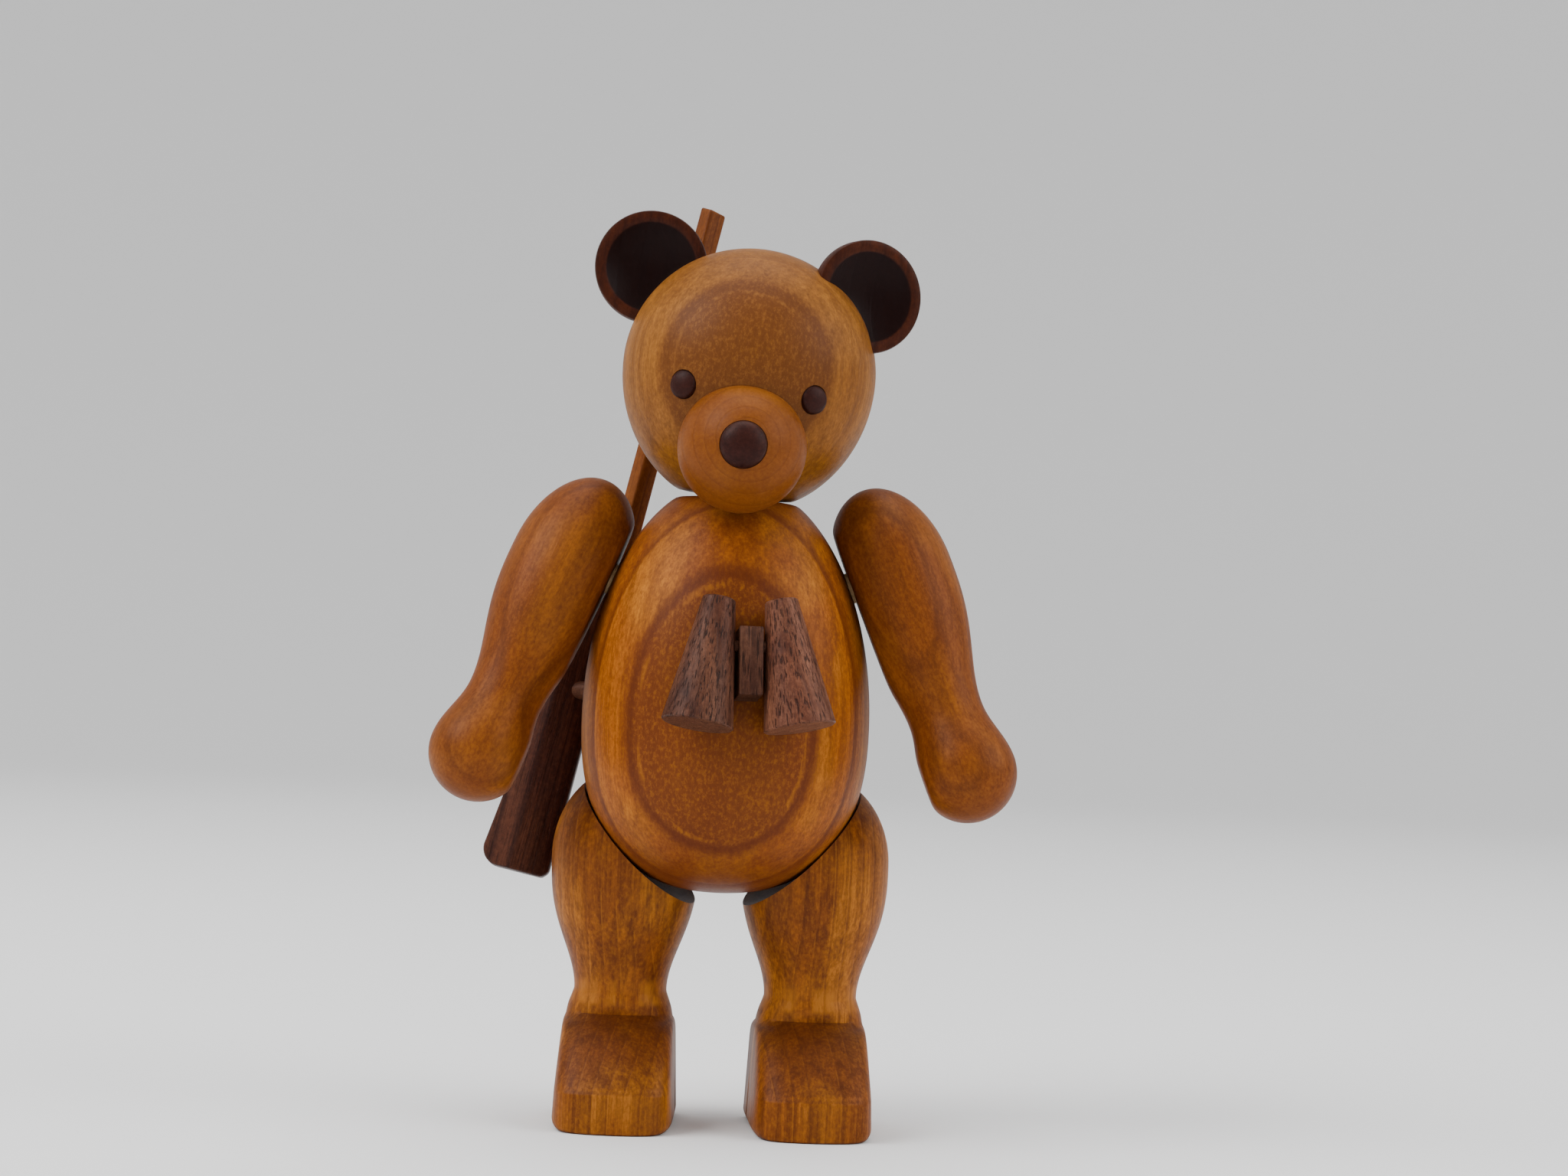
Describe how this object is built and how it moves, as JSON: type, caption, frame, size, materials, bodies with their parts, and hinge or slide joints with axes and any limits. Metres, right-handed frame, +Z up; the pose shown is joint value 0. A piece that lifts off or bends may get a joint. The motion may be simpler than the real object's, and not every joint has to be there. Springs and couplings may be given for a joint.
{
  "type": "jointed wooden bear figurine",
  "caption": "Turned wooden bear figurine with a turning head, swinging arms and legs, a binocular pegged to its chest and a rifle behind one arm.",
  "frame": {"origin": "on the floor, under the middle of the bear's box", "axes": "+Z up, the bear faces -Y, +X is the bear's own left"},
  "size_m": [0.0918, 0.0632, 0.1497],
  "materials": {
    "amber_wood": "stained and satin lacquered",
    "honey_wood": "stained and satin lacquered",
    "warm_wood": "satin lacquered",
    "dark_wood": "dark stained and satin lacquered",
    "walnut_wood": "open-pored, thinly lacquered",
    "stick_wood": "satin lacquered",
    "stock_wood": "dark stained and satin lacquered",
    "dowel_wood": "plain sanded"
  },
  "bodies": {
    "torso": {"body": "amber_wood", "binocular_tube_left": "walnut_wood", "binocular_tube_right": "walnut_wood", "binocular_bridge": "walnut_wood", "binocular_crosspin": "dowel_wood", "binocular_peg": "dowel_wood", "rifle_barrel": "stick_wood", "rifle_stock": "stock_wood", "rifle_peg": "dowel_wood"},
    "head": {"head": "honey_wood", "neck_dowel": "dowel_wood", "muzzle": "warm_wood", "muzzle_peg": "dowel_wood", "nose_plug": "dark_wood", "eye_pin_left": "dark_wood", "eye_pin_right": "dark_wood", "ear_left": "dark_wood", "ear_right": "dark_wood", "ear_peg_left": "dowel_wood", "ear_peg_right": "dowel_wood"},
    "arm_left": {"arm_left": "amber_wood", "shoulder_pin_left": "dowel_wood"},
    "arm_right": {"arm_right": "amber_wood", "shoulder_pin_right": "dowel_wood"},
    "leg_left": {"leg_left": "amber_wood", "hip_pin_left": "dowel_wood"},
    "leg_right": {"leg_right": "amber_wood", "hip_pin_right": "dowel_wood"}
  },
  "joints": [
    {"name": "head_turn", "type": "hinge", "parent": "torso", "child": "head", "pos_m": [0, 0.00226, 0.0999], "axis": [0.0767, 0, 0.9971], "range_deg": [-40, 35]},
    {"name": "arm_left_swing", "type": "hinge", "parent": "torso", "child": "arm_left", "pos_m": [0.0189, 0.00226, 0.0862], "axis": [-0.9273, 0, -0.3742], "range_deg": [-75, 90]},
    {"name": "arm_right_swing", "type": "hinge", "parent": "torso", "child": "arm_right", "pos_m": [-0.0189, 0.00226, 0.0862], "axis": [-0.9273, 0, 0.3742], "range_deg": [-20, 85]},
    {"name": "leg_left_swing", "type": "hinge", "parent": "torso", "child": "leg_left", "pos_m": [0.01821, 0.00226, 0.0453], "axis": [-0.8185, 0, 0.5745], "range_deg": [-25, 85]},
    {"name": "leg_right_swing", "type": "hinge", "parent": "torso", "child": "leg_right", "pos_m": [-0.01821, 0.00226, 0.0453], "axis": [-0.8185, 0, -0.5745], "range_deg": [-22, 85]}
  ]
}
